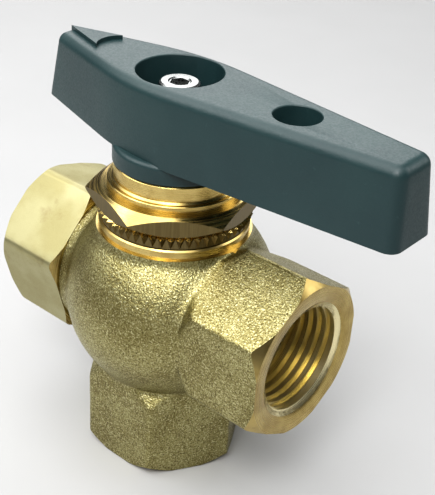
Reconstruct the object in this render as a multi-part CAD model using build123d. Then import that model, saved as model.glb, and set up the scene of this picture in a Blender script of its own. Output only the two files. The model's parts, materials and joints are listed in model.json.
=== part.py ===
from build123d import *
import math
import os

os.makedirs("parts", exist_ok=True)

# Three way ball valve with 1/2 inch pipe threads, in millimetres.
# Heights are measured from the centre of the ball and lifted by BALL_HEIGHT when a piece is written,
# so that the finished valve stands on the end face of its bottom port.

# Driving dimensions of the envelope
ACROSS_FLATS = 27.0
HALF_RUN = 30.7  # ball centre to the end face of each run port
BALL_HEIGHT = 31.6  # ball centre above the bottom port's end face
SHELL_RADIUS = 19.2  # outside of the forging around the ball
CONNECTOR_TURN = 15.5  # how far round the end connector stops when it is tight, in degrees
BONNET_TURN = -17.2  # the same for the bonnet's hexagon

# Ports
THREAD_RADIUS = 10.48  # major radius of the 1/2 inch pipe thread
THREAD_DEPTH = 14.0
DRILL_RADIUS = 9.3
DRILL_CONE = 2.4
COUNTERSINK_RADIUS = 11.3
COUNTERSINK_DEPTH = 0.48
FACE_RADIUS = 13.77  # turned chamfer on the corners of a port's hexagon, at the end face
RUN_NECK_RADIUS = 13.56
BOTTOM_NECK_RADIUS = 13.52
PORT_HEX_START = 16.5
WATERWAY_RADIUS = 5.5

# Ball, seats and cavity
BALL_RADIUS = 10.8
CAVITY_RADIUS = 11.4
CAVITY_END = 6.5
SEAT_OUTSIDE = 8.9
SEAT_INSIDE = 5.6
SEAT_FRONT = 6.9
SEAT_BACK = 11.0
SEAT_POCKET_END = 12.4
SLOT_FLOOR = 8.0
SLOT_WIDTH = 4.2
TANG_WIDTH = 4.0
TANG_LENGTH = 9.0

# End connector, screwed into the collar on the left of the body
COLLAR_RADIUS = 13.5
COLLAR_END = 15.6
CONNECTOR_THREAD = 12.0
CONNECTOR_THREAD_END = 9.6
CONNECTOR_NOSE = 11.3
CONNECTOR_GROOVE = (7.9, 9.4)
CONNECTOR_GROOVE_FLOOR = 10.2

# Top boss, lock ring and bonnet
BOSS_RADIUS = 13.3
BOSS_TOP = 15.95
BONNET_BORE = 9.55
SHANK_RADIUS = 9.5
SHANK_BOTTOM = 11.6
BONNET_GROOVE = (12.6, 14.0)
BONNET_GROOVE_FLOOR = 8.4
RING_RADIUS = 13.7
RING_BOTTOM = 16.05
RING_TOP = 18.4
HEX_BOTTOM = 18.45
HEX_TOP = 22.0
HEX_BOTTOM_FACE = 13.2
HEX_TOP_FACE = 12.9
HEX_CORNER_HEIGHTS = (20.3, 20.45)
FLANGE_RADIUS = 11.8
FLANGE_TOP = 23.35
NECK_RADIUS = 10.77
NECK_TOP = 26.45

# Stem
STEM_RADIUS = 5.0
STEM_SQUARE = 7.0
SHOULDER_RADIUS = 6.5
SHOULDER = (11.7, 14.0)
SHOULDER_POCKET = 6.75
SHOULDER_POCKET_TOP = 15.2
STEM_GROOVES = ((17.0, 18.5), (20.6, 22.1))
STEM_GROOVE_FLOOR = 3.7
STEM_ROUND_TOP = 26.6
STEM_TOP = 35.0
RUNNING_GAP = 0.05

# Stop pin, which runs in a half circle of groove under the handle's hub
PIN_RADIUS = 1.25
PIN_CIRCLE = 8.0
PIN_ANGLE = 90.0
PIN_FOOT = 23.65
PIN_TOP = 29.2
PIN_GROOVE_TOP = 29.5
TRAVEL = 180.0

# Handle
HANDLE_BOTTOM = 29.5
HANDLE_TOP = 42.3
ARROW_TOP = 43.0
HUB_RADIUS = 11.0
HUB_BOTTOM = 26.7
HUB_SHOULDER = 29.9
HUB_EDGE = 0.8
COUNTERBORE_RADIUS = 7.28
COUNTERBORE_FLOOR = 35.2
HANDLE_HOLE_X = 24.0
HANDLE_HOLE_RADIUS = 3.8
HANDLE_BOTTOM_PLAN = ((-30.6, 1.7), (-1.6, 10.5), (46.5, 5.3))  # x and half width at left end, belly, right end
HANDLE_TOP_PLAN = ((-26.4, 3.0), (-2.4, 9.75), (45.4, 4.2))
BELLY_RADIUS = 46.0
LEFT_CORNER = 2.0
RIGHT_CORNER = 2.2
TOP_EDGE = 1.9
RIM_EDGE = 0.25
POCKET_PLAN = ((-24.0, 1.3), (-3.5, 6.9), (44.2, 3.1))
POCKET_TAPER = 1.0  # degrees
POCKET_TOP = 39.8
RIB = 1.6
RIB_PLACES = (-17.0, 15.5, 33.0, 39.0)

# Handle screw, M4 with a 3 mm socket, and its washers
SCREW_RADIUS = 2.0
SCREW_END = 27.5
SCREW_HOLE_END = 26.5
FLAT_WASHER = (2.15, 4.5, 35.2, 35.8)  # inside radius, outside radius, bottom, top
SPRING_WASHER = (2.1, 3.6, 35.8, 36.5)
SCREW_HEAD_RADIUS = 3.5
SCREW_HEAD_TOP = 40.5
SCREW_KEY = 3.0
SCREW_KEY_DEPTH = 2.0

RIGHTWARDS = Rot(0, 90, 0)
LEFTWARDS = Rot(0, -90, 0)
DOWNWARDS = Rot(180, 0, 0)


def turned(points):
    """A solid of revolution about Z from (radius, height) points."""
    outline = Polyline([(r, 0, z) for r, z in points], close=True)
    return revolve(make_face(outline), Axis.Z)


def rod(radius, bottom, top):
    return Pos(0, 0, bottom) * Cylinder(radius, top - bottom, align=(Align.CENTER, Align.CENTER, Align.MIN))


def ring(inside, outside, bottom, top):
    return rod(outside, bottom, top) - rod(inside, bottom - 1, top + 1)


def hexagon(across_flats, bottom, top):
    """A hexagonal bar along Z with a corner towards +X."""
    face = RegularPolygon(across_flats / math.sqrt(3), 6)
    return Pos(0, 0, bottom) * extrude(face, top - bottom)


def o_ring(groove, floor, wall):
    """A round-section ring that fills a groove without being squeezed, between its floor and the wall outside."""
    section = (wall - floor) / 2 - 0.02
    return Pos(0, 0, (groove[0] + groove[1]) / 2) * Torus((wall + floor) / 2, section)


def port_bar(start, length):
    """The hexagonal end of a port along Z, with its corners turned off at the end face."""
    corner = ACROSS_FLATS / math.sqrt(3)
    envelope = turned([
        (0, start),
        (corner + 0.1, start),
        (corner + 0.1, length - (corner + 0.1 - FACE_RADIUS)),
        (FACE_RADIUS, length),
        (0, length),
    ])
    return hexagon(ACROSS_FLATS, start, length) & envelope


def port_profile(length, inner_end):
    """Half section of what is cut out of a port: waterway, drill cone, thread bore and countersink."""
    bottom = length - THREAD_DEPTH
    return [
        (WATERWAY_RADIUS, inner_end),
        (WATERWAY_RADIUS, bottom - DRILL_CONE),
        (DRILL_RADIUS, bottom),
        (THREAD_RADIUS, bottom),
        (THREAD_RADIUS, length - COUNTERSINK_DEPTH),
        (COUNTERSINK_RADIUS, length),
        (COUNTERSINK_RADIUS, length + 1),
        (0, length + 1),
    ]


def run_passage():
    """The bore of the body along the run, from the collar on the left to the right port."""
    pocket = SEAT_OUTSIDE + 0.1
    return turned([
        (0, -COLLAR_END - 5),
        (CONNECTOR_THREAD, -COLLAR_END - 5),
        (CONNECTOR_THREAD, -CONNECTOR_THREAD_END),
        (CAVITY_RADIUS, -CONNECTOR_THREAD_END),
        (CAVITY_RADIUS, CAVITY_END),
        (pocket, CAVITY_END),
        (pocket, SEAT_POCKET_END),
        *port_profile(HALF_RUN, SEAT_POCKET_END),
    ])


def body():
    """The forging. Seams are turned to the side that has no port, and the necks start well inside the shell."""
    seam_aside = Rot(0, 0, 90)
    neck_root = 6.0
    bar_root = PORT_HEX_START - 0.5
    shell = seam_aside * Sphere(SHELL_RADIUS)
    shell += RIGHTWARDS * seam_aside * rod(RUN_NECK_RADIUS, neck_root, PORT_HEX_START)
    shell += DOWNWARDS * seam_aside * rod(BOTTOM_NECK_RADIUS, neck_root, PORT_HEX_START)
    shell += LEFTWARDS * seam_aside * rod(COLLAR_RADIUS, neck_root, COLLAR_END)
    shell += seam_aside * rod(BOSS_RADIUS, neck_root, BOSS_TOP)
    shell += RIGHTWARDS * port_bar(bar_root, HALF_RUN)
    shell += DOWNWARDS * port_bar(bar_root, BALL_HEIGHT)
    shell -= RIGHTWARDS * run_passage()
    shell -= DOWNWARDS * turned([(0, 1), *port_profile(BALL_HEIGHT, 1)])
    shell -= rod(BONNET_BORE, 1, BOSS_TOP + 1)
    return shell - rod(SHELL_RADIUS, BOSS_TOP, SHELL_RADIUS + 1)


def end_connector():
    inner_face = COLLAR_END + 0.05
    corner = ACROSS_FLATS / math.sqrt(3)
    nut = port_bar(inner_face, HALF_RUN) & turned([
        (0, inner_face),
        (13.3, inner_face),
        (corner + 0.1, inner_face + 1.4),
        (corner + 0.1, HALF_RUN),
        (0, HALF_RUN),
    ])
    screw = nut + rod(CONNECTOR_THREAD - 0.02, CONNECTOR_THREAD_END + 0.1, inner_face + 0.5)
    screw += rod(CONNECTOR_NOSE, CAVITY_END, CONNECTOR_THREAD_END + 0.2)
    screw -= ring(CONNECTOR_GROOVE_FLOOR, CONNECTOR_THREAD, *CONNECTOR_GROOVE)
    pocket = SEAT_OUTSIDE + 0.1
    screw -= turned([(0, 1), (pocket, 1), (pocket, SEAT_POCKET_END), *port_profile(HALF_RUN, SEAT_POCKET_END)])
    return LEFTWARDS * Rot(0, 0, -CONNECTOR_TURN) * screw


def seat():
    return ring(SEAT_INSIDE, SEAT_OUTSIDE, SEAT_FRONT, SEAT_BACK) - Sphere(BALL_RADIUS + RUNNING_GAP)


def seat_ring():
    gap = (SEAT_BACK, SEAT_POCKET_END)
    section = (gap[1] - gap[0]) / 2 - 0.02
    return Pos(0, 0, sum(gap) / 2) * Torus(SEAT_OUTSIDE - section - 0.1, section)


def connector_seal():
    return LEFTWARDS * o_ring(CONNECTOR_GROOVE, CONNECTOR_GROOVE_FLOOR, CAVITY_RADIUS)


def ball():
    """An L port: one leg goes down along the stem's axis, the other out to the port that the arrow points at."""
    sphere = Sphere(BALL_RADIUS)
    sphere -= DOWNWARDS * rod(WATERWAY_RADIUS, 0, BALL_RADIUS)
    sphere -= LEFTWARDS * rod(WATERWAY_RADIUS, 0, BALL_RADIUS)
    sphere -= Sphere(WATERWAY_RADIUS)
    slot_height = BALL_RADIUS
    slot = Box(3 * BALL_RADIUS, SLOT_WIDTH, slot_height, align=(Align.CENTER, Align.CENTER, Align.MIN))
    return sphere - Pos(0, 0, SLOT_FLOOR) * slot


def stem():
    tang_floor = SLOT_FLOOR + 0.1
    tang_height = SHOULDER[0] + 0.5 - tang_floor
    tang = Box(TANG_LENGTH, TANG_WIDTH, tang_height, align=(Align.CENTER, Align.CENTER, Align.MIN))
    solid = rod(SHOULDER_RADIUS, *SHOULDER) + Pos(0, 0, tang_floor) * tang
    solid += rod(STEM_RADIUS, SHOULDER[1] - 0.5, STEM_ROUND_TOP)
    for groove in STEM_GROOVES:
        solid -= ring(STEM_GROOVE_FLOOR, STEM_RADIUS + 1, *groove)
    square_height = STEM_TOP - STEM_ROUND_TOP + 0.5
    square = Box(STEM_SQUARE, STEM_SQUARE, square_height, align=(Align.CENTER, Align.CENTER, Align.MIN))
    solid += Pos(0, 0, STEM_ROUND_TOP - 0.5) * square
    return solid - rod(SCREW_RADIUS + 0.02, SCREW_HOLE_END, STEM_TOP + 1)


def thrust_washer():
    return ring(STEM_RADIUS + 0.1, SHOULDER_POCKET - 0.1, SHOULDER[1] + RUNNING_GAP, SHOULDER_POCKET_TOP)


def stem_seal(groove):
    return o_ring(groove, STEM_GROOVE_FLOOR, STEM_RADIUS + RUNNING_GAP)


def bonnet():
    corner = ACROSS_FLATS / math.sqrt(3)
    low, high = HEX_CORNER_HEIGHTS
    hexagonal = hexagon(ACROSS_FLATS, HEX_BOTTOM, HEX_TOP) & turned([
        (0, HEX_BOTTOM),
        (HEX_BOTTOM_FACE, HEX_BOTTOM),
        (corner, low),
        (corner, high),
        (HEX_TOP_FACE, HEX_TOP),
        (0, HEX_TOP),
    ])
    solid = Rot(0, 0, BONNET_TURN) * hexagonal
    solid += rod(SHANK_RADIUS, SHANK_BOTTOM, HEX_BOTTOM + 0.5)
    solid += rod(FLANGE_RADIUS, HEX_TOP - 0.5, FLANGE_TOP)
    solid += rod(NECK_RADIUS, FLANGE_TOP - 0.5, NECK_TOP)
    solid -= ring(BONNET_GROOVE_FLOOR, SHANK_RADIUS + 1, *BONNET_GROOVE)
    solid -= rod(SHOULDER_POCKET, SHANK_BOTTOM - 1, SHOULDER_POCKET_TOP)
    solid -= rod(STEM_RADIUS + RUNNING_GAP, SHOULDER_POCKET_TOP - 1, NECK_TOP + 1)
    return solid - Pos(*pin_centre()) * rod(PIN_RADIUS + 0.01, PIN_FOOT - 0.05, NECK_TOP + 1)


def bonnet_seal():
    return o_ring(BONNET_GROOVE, BONNET_GROOVE_FLOOR, BONNET_BORE)


def lock_ring():
    edge = 0.35
    inside = SHANK_RADIUS + 0.1
    return turned([
        (inside, RING_BOTTOM),
        (RING_RADIUS - edge, RING_BOTTOM),
        (RING_RADIUS, RING_BOTTOM + edge),
        (RING_RADIUS, RING_TOP - edge),
        (RING_RADIUS - edge, RING_TOP),
        (inside, RING_TOP),
    ])


def pin_centre(turn=0.0):
    angle = math.radians(PIN_ANGLE + turn)
    return PIN_CIRCLE * math.cos(angle), PIN_CIRCLE * math.sin(angle), 0


def stop_pin():
    return Pos(*pin_centre()) * rod(PIN_RADIUS, PIN_FOOT, PIN_TOP)


def pin_groove():
    """The half circle that the stop pin runs in while the handle turns from one run port to the other."""
    half_width = PIN_RADIUS + RUNNING_GAP
    circle = ring(PIN_CIRCLE - half_width, PIN_CIRCLE + half_width, HUB_BOTTOM - 1, PIN_GROOVE_TOP)
    side = 4 * HUB_RADIUS
    half = Box(side, side, side, align=(Align.MIN, Align.CENTER, Align.CENTER))
    groove = circle & Rot(0, 0, PIN_ANGLE - TRAVEL / 2) * Pos(0, 0, PIN_GROOVE_TOP) * half
    for turn in (0, -TRAVEL):
        groove += Pos(*pin_centre(turn)) * rod(half_width, HUB_BOTTOM - 1, PIN_GROOVE_TOP)
    return groove


def handle_plan(plan):
    """The kite-shaped plan of the handle at one height, with a belly around the hub."""
    points = [(x, -w) for x, w in plan] + [(x, w) for x, w in plan[::-1]]
    face = make_face(Polyline(points, close=True))
    belly = [v for v in face.vertices() if abs(v.X - plan[1][0]) < 0.1]
    return fillet(belly, BELLY_RADIUS)


def handle_arrow():
    """The raised arrow head that shows which run port is open, with a hollow tail."""
    tip_x, barb_x, tail_x, half_width = -26.0, -16.4, -17.7, 3.1
    base = HANDLE_TOP - 2.0
    sides = Polyline((barb_x, -half_width), (tip_x, 0), (barb_x, half_width))
    tail = ThreePointArc((barb_x, half_width), (tail_x, 0), (barb_x, -half_width))
    return Pos(0, 0, base) * extrude(make_face(sides + tail), ARROW_TOP - base)


def handle_pockets():
    """The hollows under both arms, which leave a shell with a rib down the middle and ribs across."""
    height = POCKET_TOP - HANDLE_BOTTOM
    pockets = Pos(0, 0, HANDLE_BOTTOM) * extrude(handle_plan(POCKET_PLAN), height, taper=POCKET_TAPER)
    pockets -= rod(HUB_RADIUS, HANDLE_BOTTOM - 1, POCKET_TOP + 1)
    hole_boss = HANDLE_HOLE_RADIUS + 1.9
    pockets -= Pos(HANDLE_HOLE_X, 0, 0) * rod(hole_boss, HANDLE_BOTTOM - 1, POCKET_TOP + 1)
    pockets -= Pos(0, 0, HANDLE_TOP) * Box(100, RIB, 50)
    for x in RIB_PLACES:
        pockets -= Pos(x, 0, HANDLE_TOP) * Box(RIB, 50, 50)
    return pockets


def handle_arm():
    bottom = Pos(0, 0, HANDLE_BOTTOM) * handle_plan(HANDLE_BOTTOM_PLAN)
    top = Pos(0, 0, HANDLE_TOP) * handle_plan(HANDLE_TOP_PLAN)
    arm = loft([bottom, top], ruled=True)
    upright = arm.edges().filter_by(lambda e: e.length > 10 and abs(e.tangent_at(0.5).Z) > 0.9)
    arm = fillet(upright.filter_by(lambda e: e.center().X < -20), LEFT_CORNER)
    upright = arm.edges().filter_by(lambda e: e.length > 10 and abs(e.tangent_at(0.5).Z) > 0.9)
    arm = fillet(upright.filter_by(lambda e: e.center().X > 45), RIGHT_CORNER)
    return fillet(arm.faces().sort_by(Axis.Z)[-1].edges(), TOP_EDGE)


def rim(solid, radius):
    """The edge of a round hole in the handle's top."""
    circles = solid.edges().filter_by(GeomType.CIRCLE)
    return circles.filter_by(lambda e: abs(e.radius - radius) < 0.01 and abs(e.center().Z - HANDLE_TOP) < 0.01)


def handle():
    solid = handle_arm()
    solid -= rod(COUNTERBORE_RADIUS, COUNTERBORE_FLOOR, HANDLE_TOP + 1)
    solid -= Pos(HANDLE_HOLE_X, 0, 0) * rod(HANDLE_HOLE_RADIUS, HANDLE_BOTTOM - 1, HANDLE_TOP + 1)
    solid = fillet(rim(solid, COUNTERBORE_RADIUS) + rim(solid, HANDLE_HOLE_RADIUS), RIM_EDGE)
    hub = rod(HUB_RADIUS, HUB_BOTTOM, HUB_SHOULDER)
    hub = fillet(hub.edges().filter_by(GeomType.CIRCLE).sort_by(Axis.Z)[-1], HUB_EDGE)
    solid += hub
    solid += handle_arrow()
    solid -= handle_pockets()
    side = STEM_SQUARE + 0.1
    solid -= Pos(0, 0, HUB_BOTTOM) * Box(side, side, 50)
    return solid - pin_groove()


def spring_washer(inside, outside, bottom, top):
    split = Rot(0, 0, 20) * Pos(outside, 0, bottom) * Rot(12, 0, 0) * Box(2 * outside, 0.5, 5)
    return ring(inside, outside, bottom, top) - split


def handle_screw():
    bottom = SPRING_WASHER[3]
    head = rod(SCREW_HEAD_RADIUS, bottom, SCREW_HEAD_TOP)
    head = chamfer(head.edges().filter_by(GeomType.CIRCLE).sort_by(Axis.Z)[-1], 0.35)
    solid = head + rod(SCREW_RADIUS, SCREW_END, bottom + 0.5)
    return solid - hexagon(SCREW_KEY, SCREW_HEAD_TOP - SCREW_KEY_DEPTH, SCREW_HEAD_TOP + 1)


def main():
    pieces = {
        "body": body(),
        "end_connector": end_connector(),
        "connector_seal": connector_seal(),
        "left_seat": LEFTWARDS * seat(),
        "right_seat": RIGHTWARDS * seat(),
        "left_seat_o_ring": LEFTWARDS * seat_ring(),
        "right_seat_o_ring": RIGHTWARDS * seat_ring(),
        "ball": ball(),
        "stem": stem(),
        "thrust_washer": thrust_washer(),
        "lower_stem_o_ring": stem_seal(STEM_GROOVES[0]),
        "upper_stem_o_ring": stem_seal(STEM_GROOVES[1]),
        "bonnet": bonnet(),
        "bonnet_o_ring": bonnet_seal(),
        "lock_ring": lock_ring(),
        "stop_pin": stop_pin(),
        "handle": handle(),
        "flat_washer": ring(*FLAT_WASHER),
        "spring_washer": spring_washer(*SPRING_WASHER),
        "handle_screw": handle_screw(),
    }
    for name, shape in pieces.items():
        export_step(Pos(0, 0, BALL_HEIGHT) * shape, f"parts/{name}.step")


main()
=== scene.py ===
import json
import math

import bmesh
import bpy
from mathutils import Matrix, Vector, noise


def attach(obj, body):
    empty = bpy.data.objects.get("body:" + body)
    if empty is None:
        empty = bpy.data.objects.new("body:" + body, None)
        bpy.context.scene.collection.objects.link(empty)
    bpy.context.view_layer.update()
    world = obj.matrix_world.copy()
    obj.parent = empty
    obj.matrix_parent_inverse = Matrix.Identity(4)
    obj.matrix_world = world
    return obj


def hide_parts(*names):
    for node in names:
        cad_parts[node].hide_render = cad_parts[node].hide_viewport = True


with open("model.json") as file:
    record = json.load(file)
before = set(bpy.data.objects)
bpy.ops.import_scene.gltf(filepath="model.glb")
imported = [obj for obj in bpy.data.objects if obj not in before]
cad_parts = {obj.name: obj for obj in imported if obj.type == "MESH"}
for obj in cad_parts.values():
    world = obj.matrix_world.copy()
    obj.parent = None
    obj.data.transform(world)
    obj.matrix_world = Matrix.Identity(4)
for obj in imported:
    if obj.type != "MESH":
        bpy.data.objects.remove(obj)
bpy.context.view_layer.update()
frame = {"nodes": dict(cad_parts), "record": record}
nodes = frame["nodes"]
slotOf = {part["node"]: part["material_slot"] for part in frame["record"]["subparts"]}
ports = {mount["name"]: mount for mount in frame["record"]["mounts"]}

# Modelling is in millimetres about the ball's centre. A finished piece is scaled and lifted into the frame.
mm = 0.001
ballHeight = ports["right_port"]["pos_m"][2] / mm
halfRun = ports["right_port"]["pos_m"][0] / mm
threadRadius = ports["right_port"]["dims"]["r_mm"]
threadLength = ports["right_port"]["dims"]["length_mm"]
acrossFlats = 27.0
cornerRadius = acrossFlats / math.sqrt(3)

upwards = Matrix.Identity(4)
rightwards = Matrix.Rotation(math.radians(90), 4, "Y")
leftwards = Matrix.Rotation(math.radians(-90), 4, "Y")
downwards = Matrix.Rotation(math.radians(180), 4, "X")

# The colour sockets of a Mix node go by number, because their names are used several times.
mixAmount, mixFirst, mixSecond, mixResult = 0, 6, 7, 2


class Signal:  # a socket that takes part in Python arithmetic
    def __init__(self, shader, socket):
        self.shader = shader
        self.socket = socket

    def arithmetic(self, operation, other):
        return self.shader.node("ShaderNodeMath", {"operation": operation}, {0: self, 1: other})

    def __add__(self, other):
        return self.arithmetic("ADD", other)

    def __sub__(self, other):
        return self.arithmetic("SUBTRACT", other)

    def __mul__(self, other):
        return self.arithmetic("MULTIPLY", other)

    def __pow__(self, other):
        return self.arithmetic("POWER", other)


class Shader:  # one material and the nodes that make it, with every size in millimetres
    def __init__(self, name):
        self.material = bpy.data.materials.new(name)
        self.material.use_nodes = True
        self.tree = self.material.node_tree
        self.tree.nodes.clear()
        self.place = self.node("ShaderNodeTexCoord", output="Object")

    def node(self, kind, settings=None, inputs=None, output=0):
        made = self.tree.nodes.new(kind)
        for key, value in (settings or {}).items():
            setattr(made, key, value)
        for key, value in (inputs or {}).items():
            if isinstance(value, Signal):
                self.tree.links.new(value.socket, made.inputs[key])
            else:
                made.inputs[key].default_value = value
        return Signal(self, made.outputs[output]) if made.outputs else None

    def noise(self, size, detail=2.0, rough=0.5, place=None):
        inputs = {"Vector": place or self.place, "Scale": 1 / (size * mm)}
        inputs.update({"Detail": detail, "Roughness": rough})
        return self.node("ShaderNodeTexNoise", {"noise_dimensions": "3D"}, inputs, "Fac")

    def lines(self, along, size, detail):  # streaks across a distance
        inputs = {"W": along * (1 / (size * mm)), "Scale": 1.0, "Detail": detail}
        return self.node("ShaderNodeTexNoise", {"noise_dimensions": "1D"}, inputs, "Fac")

    def step(self, value, low, high, bottom=0.0, top=1.0):
        inputs = {"Value": value, "From Min": low, "From Max": high, "To Min": bottom, "To Max": top}
        return self.node("ShaderNodeMapRange", {"clamp": True, "interpolation_type": "SMOOTHSTEP"}, inputs)

    def tint(self, amount, first, second):
        first, second = (c if isinstance(c, Signal) else (*c, 1.0) for c in (first, second))
        inputs = {mixAmount: amount, mixFirst: first, mixSecond: second}
        return self.node("ShaderNodeMix", {"data_type": "RGBA"}, inputs, mixResult)

    def bump(self, height, depth, under=None):
        inputs = {"Height": height, "Distance": depth * mm, "Strength": 1.0}
        if under:
            inputs["Normal"] = under
        return self.node("ShaderNodeBump", None, inputs, "Normal")

    def turnedPlace(self, axis):  # distance from a turning axis plus distance along it
        split = self.node("ShaderNodeSeparateXYZ", None, {0: self.place}).socket.node
        x, y, z = (Signal(self, side) for side in split.outputs)
        if axis == "X":
            x, z = z - ballHeight * mm, x
        return (x * x + y * y) ** 0.5 + z

    def finish(self, color, rough, normal=None, metallic=0.0, specular=0.5):
        inputs = {"Base Color": color, "Roughness": rough, "Metallic": metallic}
        inputs["Specular IOR Level"] = specular
        if normal:
            inputs["Normal"] = normal
        surface = self.node("ShaderNodeBsdfPrincipled", None, inputs, "BSDF")
        self.node("ShaderNodeOutputMaterial", None, {"Surface": surface})
        return self.material


def brassColor(shader, colors, spread):  # drifts between bright and dull, with stained patches
    broad = shader.step(shader.noise(spread, 3.0, 0.6), 0.35, 0.65)
    patches = shader.step(shader.noise(spread * 0.45, 4.0, 0.65), 0.58, 0.74)
    return shader.tint(patches * 0.35, shader.tint(broad, colors["dull"], colors["bright"]), colors["stain"])


forging = {"bright": (0.385, 0.348, 0.157), "dull": (0.285, 0.249, 0.100), "stain": (0.12, 0.093, 0.034),
           "glint": (0.80, 0.76, 0.48), "spread": 7.0, "grain": 0.45, "sparkle": 0.62, "depth": 0.22,
           "wave": 2.4, "waveDepth": 0.05, "rough": (0.44, 0.30)}


def forgedBrass():
    s = Shader("forgedBrass")
    grain = s.noise(forging["grain"], 3.0, 0.65)
    sparkle = s.noise(forging["grain"] * forging["sparkle"], 2.0, 0.7)
    color = brassColor(s, forging, forging["spread"])
    # Where the sparkle noise is low the stain colour darkens the grain; where it is high the glint colour is
    # a painted highlight on the grain's raised points.
    color = s.tint(s.step(sparkle, 0.50, 0.34) * 0.85, color, forging["stain"])
    color = s.tint(s.step(sparkle, 0.54, 0.68) * 0.7, color, forging["glint"])
    waves = s.bump(s.noise(forging["wave"]), forging["waveDepth"])
    normal = s.bump(grain * 0.6 + sparkle * 0.4, forging["depth"], waves)
    return s.finish(color, s.step(sparkle, 0.35, 0.65, *forging["rough"]), normal, 1.0)


satin = {"bright": (0.43, 0.40, 0.225), "dull": (0.365, 0.33, 0.165), "stain": (0.24, 0.18, 0.08),
         "spread": 9.0, "grain": 0.22, "depth": 0.022, "wave": 3.0, "waveDepth": 0.03, "rough": (0.40, 0.52)}


def satinBrass():
    s = Shader("satinBrass")
    grain = s.noise(satin["grain"], 3.0, 0.6)
    normal = s.bump(grain, satin["depth"], s.bump(s.noise(satin["wave"]), satin["waveDepth"]))
    color = brassColor(s, satin, satin["spread"])
    return s.finish(color, s.step(grain, 0.3, 0.7, *satin["rough"]), normal, 1.0)


# The last colour here is a pale brass used as painted light on the threads.
turned = {"bright": (0.62, 0.48, 0.19), "dull": (0.46, 0.34, 0.12), "stain": (0.28, 0.18, 0.06),
          "clean": (0.96, 0.88, 0.56), "spread": 5.0, "feed": 0.16, "depth": 0.010, "roughSpan": 0.14}


def turnedBrass(name, axis, shine, lift=1.0, pale=0.0):  # lift brightens it, pale mixes in a pale brass colour that is painted light
    s = Shader(name)
    colors = {}
    for tone in ("bright", "dull", "stain"):
        pairs = zip(turned[tone], turned["clean"])
        colors[tone] = tuple(c * lift * (1 - pale) + clean * pale for c, clean in pairs)
    place = s.turnedPlace(axis)
    fine = s.lines(place, turned["feed"], 2.0)
    coarse = s.lines(place, turned["feed"] * 5, 1.0)
    color = brassColor(s, colors, turned["spread"])
    color = s.tint(s.step(coarse, 0.55, 0.8) * 0.3, color, colors["dull"])
    rough = s.step(fine, 0.25, 0.75, shine, shine + turned["roughSpan"])
    return s.finish(color, rough, s.bump(fine * 0.7 + coarse * 0.3, turned["depth"]), 1.0)


# Painted shade: these colours are a dark copy of brass for the sides of the bonnet's hexagon and the knurl's
# teeth; the streaks are real drawing marks.
drawn = {"bright": (0.20, 0.155, 0.07), "dull": (0.145, 0.11, 0.048), "streak": 0.35, "shorten": 0.03,
         "depth": 0.012, "rough": (0.30, 0.44)}


def drawnBrass():  # flats of drawn hexagonal bar, streaked along the bar; its dark colour is painted shade on the bonnet's flats and the knurl's tooth walls
    s = Shader("drawnBrass")
    scale = {"Vector": s.place, "Scale": (1.0, 1.0, drawn["shorten"])}
    place = s.node("ShaderNodeMapping", {"vector_type": "POINT"}, scale, "Vector")
    streak = s.noise(drawn["streak"], 3.0, 0.6, place)
    color = s.tint(s.step(streak, 0.35, 0.65), drawn["dull"], drawn["bright"])
    return s.finish(color, s.step(streak, 0.3, 0.7, *drawn["rough"]), s.bump(streak, drawn["depth"]), 1.0)


plastic = {"face": (0.011, 0.032, 0.034), "pale": (0.015, 0.040, 0.041), "rub": (0.045, 0.09, 0.087),
           "grain": 0.34, "cloud": 14.0, "dust": 1.1, "dustAmount": 0.35, "depth": 0.020,
           "wave": 9.0, "waveDepth": 0.05, "rough": (0.36, 0.50)}


def handlePlastic():
    s = Shader("handlePlastic")
    grain = s.noise(plastic["grain"], 3.0, 0.6)
    cloud = s.step(s.noise(plastic["cloud"], 3.0, 0.55), 0.3, 0.7)
    dust = s.step(s.noise(plastic["dust"], 5.0, 0.7), 0.60, 0.78)
    color = s.tint(cloud, plastic["face"], plastic["pale"])
    color = s.tint(dust * plastic["dustAmount"], color, plastic["rub"])
    normal = s.bump(grain, plastic["depth"], s.bump(s.noise(plastic["wave"], 1.0), plastic["waveDepth"]))
    return s.finish(color, s.step(grain, 0.3, 0.7, *plastic["rough"]), normal)


steel = {"dark": (0.30, 0.31, 0.31), "pale": (0.40, 0.41, 0.40), "cloud": 1.6, "feed": 0.12, "depth": 0.006,
         "rough": (0.20, 0.32)}


def platedSteel():
    s = Shader("platedSteel")
    fine = s.lines(s.turnedPlace("Z"), steel["feed"], 2.0)
    cloud = s.noise(steel["cloud"], 3.0)
    color = s.tint(s.step(cloud, 0.3, 0.7), steel["dark"], steel["pale"])
    return s.finish(color, s.step(cloud, 0.3, 0.7, *steel["rough"]), s.bump(fine, steel["depth"]), 1.0)


chrome = {"dark": (0.76, 0.77, 0.79), "pale": (0.88, 0.89, 0.90), "cloud": 2.5, "detail": (4.0, 0.5),
          "depth": 0.002, "rough": (0.05, 0.12)}
ptfe = {"dark": (0.86, 0.85, 0.81), "pale": (0.93, 0.92, 0.89), "cloud": 0.8, "detail": (4.0, 0.6),
        "depth": 0.006, "rough": (0.38, 0.5)}
rubber = {"dark": (0.018, 0.018, 0.018), "pale": (0.032, 0.031, 0.030), "cloud": 0.3, "detail": (4.0, 0.6),
          "depth": 0.01, "rough": (0.5, 0.7)}


def cloudy(name, look, metallic=0.0):
    s = Shader(name)
    cloud = s.noise(look["cloud"], *look["detail"])
    rough = s.step(cloud, 0.3, 0.7, *look["rough"])
    return s.finish(s.tint(cloud, look["dark"], look["pale"]), rough, s.bump(cloud, look["depth"]), metallic)


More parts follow.
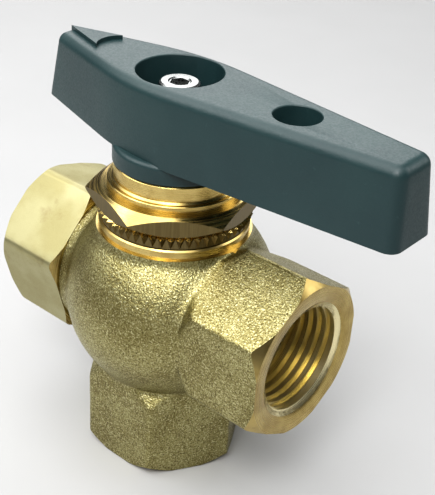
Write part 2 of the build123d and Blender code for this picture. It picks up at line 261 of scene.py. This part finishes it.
finishes = {
    "forged_brass": forgedBrass(),
    "satin": satinBrass(),
    "turnedRun": turnedBrass("turnedBrassRun", "X", 0.22, 0.8),
    "turned_brass": turnedBrass("turnedBrass", "Z", 0.19),
    # The thread copies mix three quarters of the pale brass in: painted light on the threads inside the
    # ports.
    "threadRun": turnedBrass("threadBrassRun", "X", 0.26, pale=0.75),
    "threadUp": turnedBrass("threadBrass", "Z", 0.26, pale=0.75),
    "drawn": drawnBrass(),
    "handle_plastic": handlePlastic(),
    "steel": platedSteel(),
    "ball_chrome": cloudy("chromePlate", chrome, 1.0),
    "ptfe": cloudy("ptfe", ptfe),
    "rubber": cloudy("nitrileRubber", rubber),
}
print("materials made:", len(finishes))


def toObject(bm, name, slots=()):
    mesh = bpy.data.meshes.new(name)
    bm.to_mesh(mesh)
    bm.free()
    for slot in slots:
        mesh.materials.append(finishes[slot])
    made = bpy.data.objects.new(name, mesh)
    bpy.context.scene.collection.objects.link(made)
    return made


def lathe(points, turn=upwards, segments=128, materialIndex=0):  # turns (radius, height) points into a solid
    bm = bmesh.new()
    verts = [bm.verts.new((r, 0, z)) for r, z in points]
    edges = [bm.edges.new(pair) for pair in zip(verts, verts[1:] + verts[:1])]
    bmesh.ops.spin(bm, geom=verts + edges, cent=(0, 0, 0), axis=(0, 0, 1), angle=math.tau,
                   steps=segments, use_merge=True)
    bmesh.ops.remove_doubles(bm, verts=bm.verts, dist=1e-4)
    flat = [f for f in bm.faces if f.calc_area() < 1e-9]
    bmesh.ops.delete(bm, geom=flat, context="FACES")
    bmesh.ops.recalc_face_normals(bm, faces=bm.faces)
    for face in bm.faces:
        face.material_index = materialIndex
    bm.transform(turn)
    return bm


def rod(radius, low, high, turn=upwards, segments=128, materialIndex=0):
    return lathe([(0, low), (radius, low), (radius, high), (0, high)], turn, segments, materialIndex)


def hexBar(low, high, softness=0.0, turn=upwards, radius=cornerRadius):  # has a corner towards X
    bm = bmesh.new()
    bmesh.ops.create_circle(bm, cap_ends=True, segments=6, radius=radius)
    bmesh.ops.rotate(bm, verts=bm.verts, cent=(0, 0, 0), matrix=Matrix.Rotation(math.radians(30), 3, "Z"))
    made = bmesh.ops.extrude_face_region(bm, geom=list(bm.faces))
    top = [v for v in made["geom"] if isinstance(v, bmesh.types.BMVert)]
    bmesh.ops.translate(bm, verts=top, vec=(0, 0, high - low))
    bmesh.ops.translate(bm, verts=bm.verts, vec=(0, 0, low))
    bmesh.ops.recalc_face_normals(bm, faces=bm.faces)
    if softness:
        sides = [e for e in bm.edges if abs(e.verts[0].co.z - e.verts[1].co.z) > 0.1]
        bmesh.ops.bevel(bm, geom=sides, offset=softness, affect="EDGES", segments=4, profile=0.5, material=-1)
    bm.transform(turn)
    return bm


def bake(obj):  # keeps what the modifiers make
    depsgraph = bpy.context.evaluated_depsgraph_get()
    old = obj.data
    made = bpy.data.meshes.new_from_object(obj.evaluated_get(depsgraph))
    obj.modifiers.clear()
    obj.data = made
    bpy.data.meshes.remove(old)


def combine(base, other, operation, slots=()):
    tool = toObject(other, "tool", slots)
    modifier = base.modifiers.new("combine", "BOOLEAN")
    modifier.operation = operation
    modifier.solver = "EXACT"
    modifier.material_mode = "TRANSFER"
    modifier.object = tool
    bake(base)
    bpy.data.objects.remove(tool)
    return base


def gather(obj, parts):
    joined = bmesh.new()
    joined.from_mesh(obj.data)
    for part in parts:
        joined.from_mesh(part.data)
        bpy.data.objects.remove(part)
    joined.to_mesh(obj.data)
    joined.free()


def present(obj, rides, angle, stands=()):  # edges sharper than the angle stay sharp
    mesh = obj.data
    mesh.shade_smooth()
    mesh.set_sharp_from_angle(angle=math.radians(angle))
    if stands:
        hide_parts(*stands)
    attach(obj, rides)
    print(obj.name, len(mesh.polygons), "faces")


def settle(obj, rides, angle, stands=()):
    obj.data.transform(Matrix.Translation((0, 0, ballHeight * mm)) @ Matrix.Scale(mm, 4))
    present(obj, rides, angle, stands)


inside = {"waterway": 5.5, "cavity": 11.4, "cavityLeft": -9.6, "cavityRight": 6.5,
          "pocket": 9.0, "pocketEnd": 12.4}
port = {"drill": 9.3, "cone": 2.4, "countersink": 11.3, "countersinkDepth": 0.48, "face": 13.77, "clear": 8.0}


def portCut(length, innerEnd):  # half section of what is turned out of a port and off its corners
    bottom = length - threadLength - port["countersinkDepth"]
    clear = port["clear"]
    return [
        (inside["waterway"], innerEnd),
        (inside["waterway"], bottom - port["cone"]),
        (port["drill"], bottom),
        (threadRadius, bottom),
        (threadRadius, length - port["countersinkDepth"]),
        (port["countersink"], length),
        (port["face"], length),
        (port["face"] + clear, length - clear),
        (port["face"] + clear, length + clear),
        (0, length + clear),
    ]


body = {"shell": 19.13, "voxel": 0.36, "blend": 45, "soften": 9,
        "neckFoot": 5.0, "neckEnd": 19.0, "neck": 13.35, "forgedBoss": 13.75,
        "collar": 13.5, "collarEnd": 15.6, "collarBore": 12.0, "collarClear": 17.0,
        "boss": 13.3, "bossEdge": 0.25, "bossFoot": 14.25, "bossTop": 15.95, "bossBore": 9.55,
        "bossClear": 14.6, "clear": 24.0}
bar = {"foot": 8.0, "edge": 0.45, "overhang": 1.2, "root": (12.0, 7.0), "shoulderFoot": (12.9, 12.6),
       "shoulderTop": 17.1, "over": 0.3, "clear": 40.0}


def forgedBar(length, turn):  # a hexagonal port with a coned shoulder where it leaves the ball
    made = toObject(hexBar(bar["foot"], length + bar["overhang"], bar["edge"], turn), "bar")
    root, foot = bar["root"], bar["shoulderFoot"]
    far = cornerRadius + bar["over"]
    envelope = [(0, root[1]), root, foot, (far, bar["shoulderTop"]), (far, bar["clear"]), (0, bar["clear"])]
    return combine(made, lathe(envelope, turn), "INTERSECT")


def ballShell():
    bm = bmesh.new()
    bmesh.ops.create_uvsphere(bm, u_segments=96, v_segments=64, radius=body["shell"])
    return bm


def smoothSkin(obj, rounds):
    remesh = obj.modifiers.new("remesh", "REMESH")
    remesh.mode = "VOXEL"
    remesh.voxel_size = body["voxel"]
    remesh.adaptivity = 0.0
    soften = obj.modifiers.new("soften", "SMOOTH")
    soften.factor = 0.5
    soften.iterations = rounds
    bake(obj)


uneven = {"depth": 0.035, "broad": 0.33, "fine": 0.8, "sink": 0.6, "flashWidth": 0.5, "flashHeight": 0.30,
          "flashChange": 0.9, "steepest": 0.8}


def roughenSkin(obj):  # uneven forging, and the trimmed flash along the parting plane
    u = uneven
    bm = bmesh.new()
    bm.from_mesh(obj.data)
    bm.normal_update()
    for v in bm.verts:
        wave = noise.noise(v.co * u["broad"]) + 0.5 * noise.noise(v.co * u["fine"])
        lift = u["depth"] * (wave - u["sink"])
        edge = abs(v.co.y) / u["flashWidth"]
        if edge < 1 and abs(v.normal.y) < u["steepest"]:
            change = 0.7 + 0.5 * noise.noise(v.co * u["flashChange"])
            lift += u["flashHeight"] * (1 - edge * edge) * change
        v.co += v.normal * lift
    bm.to_mesh(obj.data)
    bm.free()


flash = {"start": 17.4, "end": 28.7, "side": -0.25, "width": 0.34, "height": 0.24, "stations": 40,
         "foot": 1.0, "sink": 0.15, "drift": 0.12}


def flashRidge():  # what the trimming left along the top corner of the right port
    f = flash
    bm = bmesh.new()
    foot = cornerRadius - f["foot"]
    rows = []
    for index in range(f["stations"] + 1):
        x = f["start"] + (f["end"] - f["start"]) * index / f["stations"]
        top = cornerRadius - f["sink"] + f["height"] * (0.75 + 0.6 * noise.noise((x * 0.8, 3.0, 1.0)))
        drift = f["side"] + f["drift"] * noise.noise((x * 0.4, 7.0, 2.0))
        section = [(-f["width"], foot), (-f["width"] / 2, top), (f["width"] / 2, top), (f["width"], foot)]
        rows.append([bm.verts.new((x, drift + side, height)) for side, height in section])
    for first, second in zip(rows, rows[1:]):
        for a, b in zip(range(4), (1, 2, 3, 0)):
            bm.faces.new((first[a], first[b], second[b], second[a]))
    bm.faces.new(rows[0])
    bm.faces.new(rows[-1])
    bmesh.ops.recalc_face_normals(bm, faces=bm.faces)
    return bm


def makeBody():
    b = body
    slots = ["forged_brass", "turnedRun", "turned_brass"]
    skin = toObject(ballShell(), "body_forging", slots)
    necks = [
        rod(radius, b["neckFoot"], b["neckEnd"], turn) for radius, turn in (
            (b["neck"], rightwards), (b["neck"], downwards),
            (b["collar"], leftwards), (b["forgedBoss"], upwards),
        )
    ]
    gather(skin, [toObject(neck, "neck") for neck in necks])
    smoothSkin(skin, b["blend"])  # wide fillets between the ball and its necks
    gather(skin, [forgedBar(halfRun, rightwards), forgedBar(ballHeight, downwards)])
    smoothSkin(skin, b["soften"])
    roughenSkin(skin)
    print("forging skin", len(skin.data.polygons))
    run = [
        (0, -b["clear"]), (b["collarClear"], -b["clear"]), (b["collarClear"], -b["collarEnd"]),
        (b["collarBore"], -b["collarEnd"]), (b["collarBore"], inside["cavityLeft"]),
        (inside["cavity"], inside["cavityLeft"]), (inside["cavity"], inside["cavityRight"]),
        (inside["pocket"], inside["cavityRight"]), (inside["pocket"], inside["pocketEnd"]),
        *portCut(halfRun, inside["pocketEnd"]),
    ]
    boss = [
        (0, 1), (b["bossBore"], 1), (b["bossBore"], b["bossTop"]), (b["boss"] - b["bossEdge"], b["bossTop"]),
        (b["boss"], b["bossTop"] - b["bossEdge"]), (b["boss"], b["bossFoot"]),
        (b["bossClear"], b["bossFoot"]), (b["bossClear"], b["clear"]), (0, b["clear"]),
    ]
    cuts = [
        lathe(run, rightwards, materialIndex=1),
        lathe([(0, -1), *portCut(ballHeight, -1)], downwards, materialIndex=2),
        lathe(boss, materialIndex=2),
    ]
    for cut in cuts:
        combine(skin, cut, "DIFFERENCE", slots)
    gather(skin, [toObject(flashRidge(), "flash")])
    settle(skin, "valve", 34.0, ["body"])


connector = {"turn": -15.5, "foot": 15.0, "edge": 0.9, "noseFoot": (13.9, 15.65), "shoulderTop": 16.8,
             "over": 0.2, "spigot": 11.3, "spigotEnd": 6.5, "groove": (7.9, 9.4), "grooveFloor": 10.2,
             "screwed": 11.98, "screwedEnd": 9.7, "screwedTop": 16.5, "clear": 4.0}


def makeConnector():
    c = connector
    turn = leftwards @ Matrix.Rotation(math.radians(c["turn"]), 4, "Z")
    slots = ["satin", "turnedRun"]
    made = toObject(hexBar(c["foot"], halfRun + 2, c["edge"], turn), "end_connector_piece", slots)
    foot = c["noseFoot"]
    far = cornerRadius + c["over"]
    end = halfRun + c["clear"]
    low, high = c["groove"]
    nose = [(0, foot[1]), foot, (far, c["shoulderTop"]), (far, end), (0, end)]
    screwed = [
        (0, c["spigotEnd"]), (c["spigot"], c["spigotEnd"]), (c["spigot"], low), (c["grooveFloor"], low),
        (c["grooveFloor"], high), (c["spigot"], high), (c["screwed"], c["screwedEnd"]),
        (c["screwed"], c["screwedTop"]), (0, c["screwedTop"]),
    ]
    pocket, pocketEnd = inside["pocket"], inside["pocketEnd"]
    bore = [(0, 5), (pocket, 5), (pocket, pocketEnd), *portCut(halfRun, pocketEnd)]
    combine(made, lathe(nose, leftwards, materialIndex=1), "INTERSECT", slots)
    combine(made, lathe(screwed, leftwards, 96, 1), "UNION", slots)
    combine(made, lathe(bore, leftwards, materialIndex=1), "DIFFERENCE", slots)
    settle(made, "valve", 30.0, ["end_connector"])


thread = {"pitch": 1.814, "crest": 9.5, "flat": 0.85, "root": 0.12, "runIn": 0.6, "bury": 0.02, "steps": 60,
          "mouth": 1.6, "mouthSlope": 0.5, "coneTop": 8.6}


def makeThread(name, length, turn, finish):  # a ridge in a helix, and a plain mouth that the countersink cuts
    t = thread
    half, flat = (t["pitch"] - t["root"]) / 2, t["flat"] / 2
    start = length - threadLength + t["runIn"]
    count = int((threadLength + t["runIn"]) / t["pitch"] * t["steps"])
    outer = threadRadius + t["bury"]
    bm = bmesh.new()
    profile = [(outer, -half), (outer, half), (t["crest"], flat), (t["crest"], -flat)]
    face = bm.faces.new([bm.verts.new((r, 0, start + z)) for r, z in profile])
    bmesh.ops.spin(bm, geom=[face], cent=(0, 0, 0), axis=(0, 0, 1), angle=math.tau * count / t["steps"],
                   steps=count, dvec=(0, 0, t["pitch"] / t["steps"]), use_merge=False)
    bmesh.ops.remove_doubles(bm, verts=bm.verts, dist=1e-5)
    bmesh.ops.recalc_face_normals(bm, faces=bm.faces)
    ridge = toObject(bm, name, [finish])
    ridge.data.transform(turn)
    end = length - t["mouth"]
    mouth = [(t["crest"], end), (outer, end - t["mouthSlope"]), (outer, length + 1), (t["crest"], length + 1)]
    rim = toObject(lathe(mouth, turn), "mouth", [finish])
    slope = (port["countersink"] - threadRadius) / port["countersinkDepth"]
    depth = (port["countersink"] - t["coneTop"]) / slope
    cone = [(0, -depth), (t["coneTop"], -depth), (port["countersink"], 0), (14, 0), (14, 4), (0, 4)]
    for part in (ridge, rim):
        combine(part, lathe(cone, turn @ Matrix.Translation((0, 0, length))), "DIFFERENCE", [finish])
    gather(ridge, [rim])
    settle(ridge, "valve", 35.0)


bonnet = {"turn": -17.2, "barEdge": 0.18, "bottom": 18.45, "top": 22.0, "bottomFace": 13.2, "topFace": 12.9,
          "low": 20.3, "high": 20.45, "over": 0.05, "edge": 0.12, "flange": 11.8, "flangeTop": 23.35,
          "neck": 10.77, "neckTop": 26.45, "neckEdge": 0.3, "shank": 9.5, "shankFoot": 11.6, "bore": 5.05,
          "pocket": 6.75, "pocketTop": 15.2, "pin": 1.26, "pinFoot": 23.6, "pinCircle": 8.0,
          "clear": (8.0, 30.0)}


def makeBonnet():
    b = bonnet
    turn = Matrix.Rotation(math.radians(b["turn"]), 4, "Z")
    # The hexagon's flats take the dark brass of painted shade, the chamfers the bright turned brass.
    slots = ["drawn", "turned_brass"]
    made = toObject(hexBar(b["bottom"] - 1, b["top"] + 1, b["barEdge"], turn), "bonnet_piece", slots)
    far = cornerRadius + b["over"]
    chamfers = [
        (0, b["bottom"]), (b["bottomFace"], b["bottom"]), (far, b["low"]),
        (far, b["high"]), (b["topFace"], b["top"]), (0, b["top"]),
    ]
    core = [
        (b["bore"], b["shankFoot"]), (b["shank"], b["shankFoot"]), (b["shank"], b["bottom"] + 0.5),
        (b["flange"], b["bottom"] + 0.5), (b["flange"], b["flangeTop"] - b["edge"]),
        (b["flange"] - b["edge"], b["flangeTop"]), (b["neck"] + b["neckEdge"], b["flangeTop"]),
        (b["neck"], b["flangeTop"] + b["neckEdge"]), (b["neck"], b["neckTop"] - b["neckEdge"]),
        (b["neck"] - b["neckEdge"], b["neckTop"]), (b["bore"], b["neckTop"]),
    ]
    combine(made, lathe(chamfers, materialIndex=1), "INTERSECT", slots)
    combine(made, lathe(core, materialIndex=1), "UNION", slots)
    foot, head = b["clear"]
    pinPlace = Matrix.Translation((0, b["pinCircle"], 0))
    holes = [
        rod(b["bore"], foot, head, materialIndex=1),
        rod(b["pocket"], foot, b["pocketTop"], materialIndex=1),
        rod(b["pin"], b["pinFoot"], head, pinPlace, 32, 1),
    ]
    for hole in holes:
        combine(made, hole, "DIFFERENCE", slots)
    settle(made, "valve", 24.0, ["bonnet"])


knurl = {"teeth": 54, "crest": 13.8, "root": 12.9, "foot": 13.05, "inside": 9.62,
         "bottom": 16.05, "top": 18.4, "edge": 0.15, "bevel": 0.45}


def makeLockRing():  # pointed teeth standing on a plain edge, with a bevelled top
    k = knurl
    columns = 2 * k["teeth"]
    bm = bmesh.new()
    bmesh.ops.create_circle(bm, cap_ends=False, segments=columns, radius=k["inside"])
    bmesh.ops.translate(bm, verts=bm.verts, vec=(0, 0, k["bottom"]))
    loop = list(bm.edges)
    levels = [
        (k["foot"] - k["edge"], k["foot"] - k["edge"], k["bottom"]),
        (k["foot"], k["foot"], k["bottom"] + k["edge"]),
        (k["crest"], k["root"], k["top"] - k["bevel"]),
        (k["crest"] - k["bevel"], k["root"] - k["bevel"], k["top"]),
        (k["inside"], k["inside"], k["top"]),
    ]
    for crest, root, height in levels:
        made = bmesh.ops.extrude_edge_only(bm, edges=loop)["geom"]
        ring = {v for v in made if isinstance(v, bmesh.types.BMVert)}
        loop = [e for e in made if isinstance(e, bmesh.types.BMEdge) and all(v in ring for v in e.verts)]
        for v in ring:
            angle = math.atan2(v.co.y, v.co.x)
            reach = crest if round(angle / math.tau * columns) % 2 else root
            v.co = Vector((reach * math.cos(angle), reach * math.sin(angle), height))
    bmesh.ops.bridge_loops(bm, edges=[e for e in bm.edges if e.is_boundary])
    bmesh.ops.triangulate(bm, faces=[f for f in bm.faces if f.normal.z < 0.9])
    bmesh.ops.recalc_face_normals(bm, faces=bm.faces)
    # The tooth walls take the dark brass of painted shade, below the bright bevelled top.
    for face in bm.faces:
        middle = face.calc_center_median()
        if k["bottom"] + k["edge"] < middle.z < k["top"] - k["bevel"] and middle.xy.length > k["root"] - 0.1:
            face.material_index = 1
    ring = toObject(bm, "lock_ring_piece", ["turned_brass", "drawn"])
    settle(ring, "valve", 12.0, ["lock_ring"])


screw = {"head": 3.5, "bottom": 36.5, "top": 40.5, "footEdge": 0.2,
         "crown": ((0.0, 0.55), (0.12, 0.22), (0.45, 0.0)), "dish": (1.95, 1.72), "dishDepth": 0.18,
         "key": 3.0, "keyDepth": 2.0, "shank": 2.0, "end": 27.5, "tip": 0.3}


def makeScrew():
    s = screw
    dishFloor = s["top"] - s["dishDepth"]
    outline = [
        (0, s["bottom"]), (s["head"] - s["footEdge"], s["bottom"]), (s["head"], s["bottom"] + s["footEdge"]),
        *((s["head"] - inset, s["top"] - drop) for inset, drop in s["crown"]),
        (s["dish"][0], s["top"]), (s["dish"][1], dishFloor), (0, dishFloor),
    ]
    shank = [
        (0, s["end"]), (s["shank"] - s["tip"], s["end"]), (s["shank"], s["end"] + s["tip"]),
        (s["shank"], s["bottom"] + s["tip"]), (0, s["bottom"] + s["tip"]),
    ]
    head = toObject(lathe(outline, segments=120), "handle_screw_piece", ["steel"])
    combine(head, lathe(shank, segments=48), "UNION")
    key = hexBar(s["top"] - s["keyDepth"], s["top"] + 1, radius=s["key"] / math.sqrt(3))
    combine(head, key, "DIFFERENCE")
    settle(head, "lever", 30.0, ["handle_screw"])


copies = {"handle": ("lever", "handle_plastic"), "ball": ("lever", "ball_chrome"),
          "stem": ("lever", "turned_brass"), "left_seat": ("valve", "ptfe"), "right_seat": ("valve", "ptfe"),
          "flat_washer": ("lever", "steel"), "spring_washer": ("lever", "steel"),
          "stop_pin": ("valve", "steel")}


def smoothCopy(node, rides, slot):  # the CAD piece itself, shaded smooth
    bm = bmesh.new()
    bm.from_mesh(nodes[node].data)
    bmesh.ops.remove_doubles(bm, verts=bm.verts, dist=0.001 * mm)
    made = toObject(bm, node + "_piece", [slot])
    for leftover in ("custom_normal", "sharp_edge"):
        if leftover in made.data.attributes:
            made.data.attributes.remove(made.data.attributes[leftover])
    made.data.polygons.foreach_set("material_index", [0] * len(made.data.polygons))
    present(made, rides, 28.0, [node])


makeBody()
makeConnector()
makeThread("right_port_thread", halfRun, rightwards, "threadRun")
makeThread("left_port_thread", halfRun, leftwards, "threadRun")
makeThread("bottom_port_thread", ballHeight, downwards, "threadUp")
makeBonnet()
makeLockRing()
makeScrew()
for node, (rides, slot) in copies.items():
    smoothCopy(node, rides, slot)
for node, piece in nodes.items():
    for place in piece.material_slots:
        place.material = finishes[slotOf[node]]
print("CAD pieces given materials:", len(nodes))


floor = {"dark": (0.40, 0.40, 0.40), "pale": (0.43, 0.43, 0.43), "cloud": 40.0, "halfSide": 3.0, "drop": 0.2}
lamps = {
    "overhead": {"spot": (-0.06, -0.25, 0.50), "target": (-0.06, -0.20, 0), "size": (0.85, 0.75),
                 "power": 3.4, "spread": 130},
    "key": {"spot": (-0.40, -0.28, 0.48), "target": (0, 0, 0.03), "size": (0.40, 0.40),
            "power": 1.15, "spread": 180},
    "backLeft": {"spot": (-0.36, 0.37, 0.44), "target": (0, 0, 0.07), "size": (0.55, 0.55),
                 "power": 2.5, "spread": 180},
    "backRight": {"spot": (0.30, 0.40, 0.34), "target": (0, 0, 0.03), "size": (0.28, 0.28),
                  "power": 0.7, "spread": 180},
    "front": {"spot": (0.15, -0.30, 0.40), "target": (0, 0, 0.03), "size": (0.18, 0.18),
              "power": 1.25, "spread": 180},
}
world = {"color": (0.95, 0.97, 1.0, 1.0), "strength": 0.08}


def softbox(name, spot, target, size, power, spread):
    light = bpy.data.lights.new(name, "AREA")
    light.shape = "RECTANGLE"
    light.size, light.size_y = size
    light.energy = power
    light.spread = math.radians(spread)
    made = bpy.data.objects.new(name, light)
    made.location = spot
    made.rotation_euler = (Vector(target) - Vector(spot)).to_track_quat("-Z", "Y").to_euler()
    bpy.context.scene.collection.objects.link(made)


def makeStage():
    bm = bmesh.new()
    bmesh.ops.create_grid(bm, x_segments=8, y_segments=8, size=floor["halfSide"])
    bmesh.ops.translate(bm, verts=bm.verts, vec=(0, 0, -floor["drop"] * mm))
    ground = toObject(bm, "floor")
    s = Shader("paleFloor")
    color = s.tint(s.noise(floor["cloud"]), floor["dark"], floor["pale"])
    ground.data.materials.append(s.finish(color, 0.9, specular=0.1))
    for name, lamp in lamps.items():
        softbox(name, **lamp)
    studio = bpy.data.worlds.new("studio")
    studio.use_nodes = True
    background = studio.node_tree.nodes["Background"]
    background.inputs["Color"].default_value = world["color"]
    background.inputs["Strength"].default_value = world["strength"]
    bpy.context.scene.world = studio


# The place is measured from the ball's centre, in metres.
view = {"lens": 75.86, "place": (0.106987, -0.118888, 0.104501), "right": (0.75300, 0.65571, 0.05514),
        "up": (-0.37223, 0.35535, 0.85742), "nearest": 0.01, "farthest": 20.0}


def makeCamera():
    data = bpy.data.cameras.new("camera")
    data.sensor_width = 36.0
    data.lens = view["lens"]
    data.clip_start = view["nearest"]
    data.clip_end = view["farthest"]
    camera = bpy.data.objects.new("camera", data)
    right, up = Vector(view["right"]), Vector(view["up"])
    turn = Matrix((right, up, right.cross(up))).transposed().to_4x4()
    place = Vector(view["place"]) + Vector((0, 0, ballHeight * mm))
    camera.matrix_world = Matrix.Translation(place) @ turn
    bpy.context.scene.collection.objects.link(camera)
    bpy.context.scene.camera = camera


makeStage()
makeCamera()
bpy.context.scene.view_settings.view_transform = "Standard"
bpy.context.scene.view_settings.look = "Medium High Contrast"
print("stage, light and camera ready")
